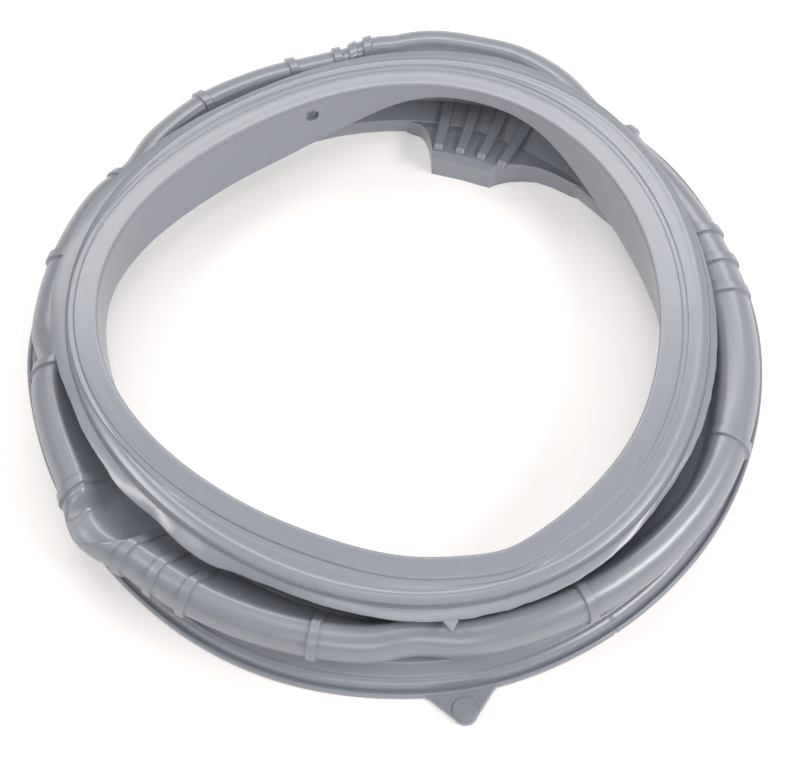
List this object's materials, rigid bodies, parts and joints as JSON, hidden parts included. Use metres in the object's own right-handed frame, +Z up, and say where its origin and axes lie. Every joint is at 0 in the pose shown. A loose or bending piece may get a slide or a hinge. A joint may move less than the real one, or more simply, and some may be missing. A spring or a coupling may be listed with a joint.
{
  "type": "washing machine door seal",
  "caption": "Grey moulded rubber door seal: a wide clamping ring, a banded bellows fold and a smaller grooved door ring with a hanging apron and a ribbed block.",
  "frame": {"origin": "centre of the bounding box at floor level, under the wide tub-side ring", "axes": "+Z up through the opening from the tub-side ring to the door ring; +Y away from the side of the picture's camera; +X to the right"},
  "size_m": [0.4012, 0.4164, 0.056],
  "materials": {
    "rubber": "satin moulded grey rubber"
  },
  "bodies": {
    "root": {"door_seal": "rubber"}
  },
  "joints": []
}
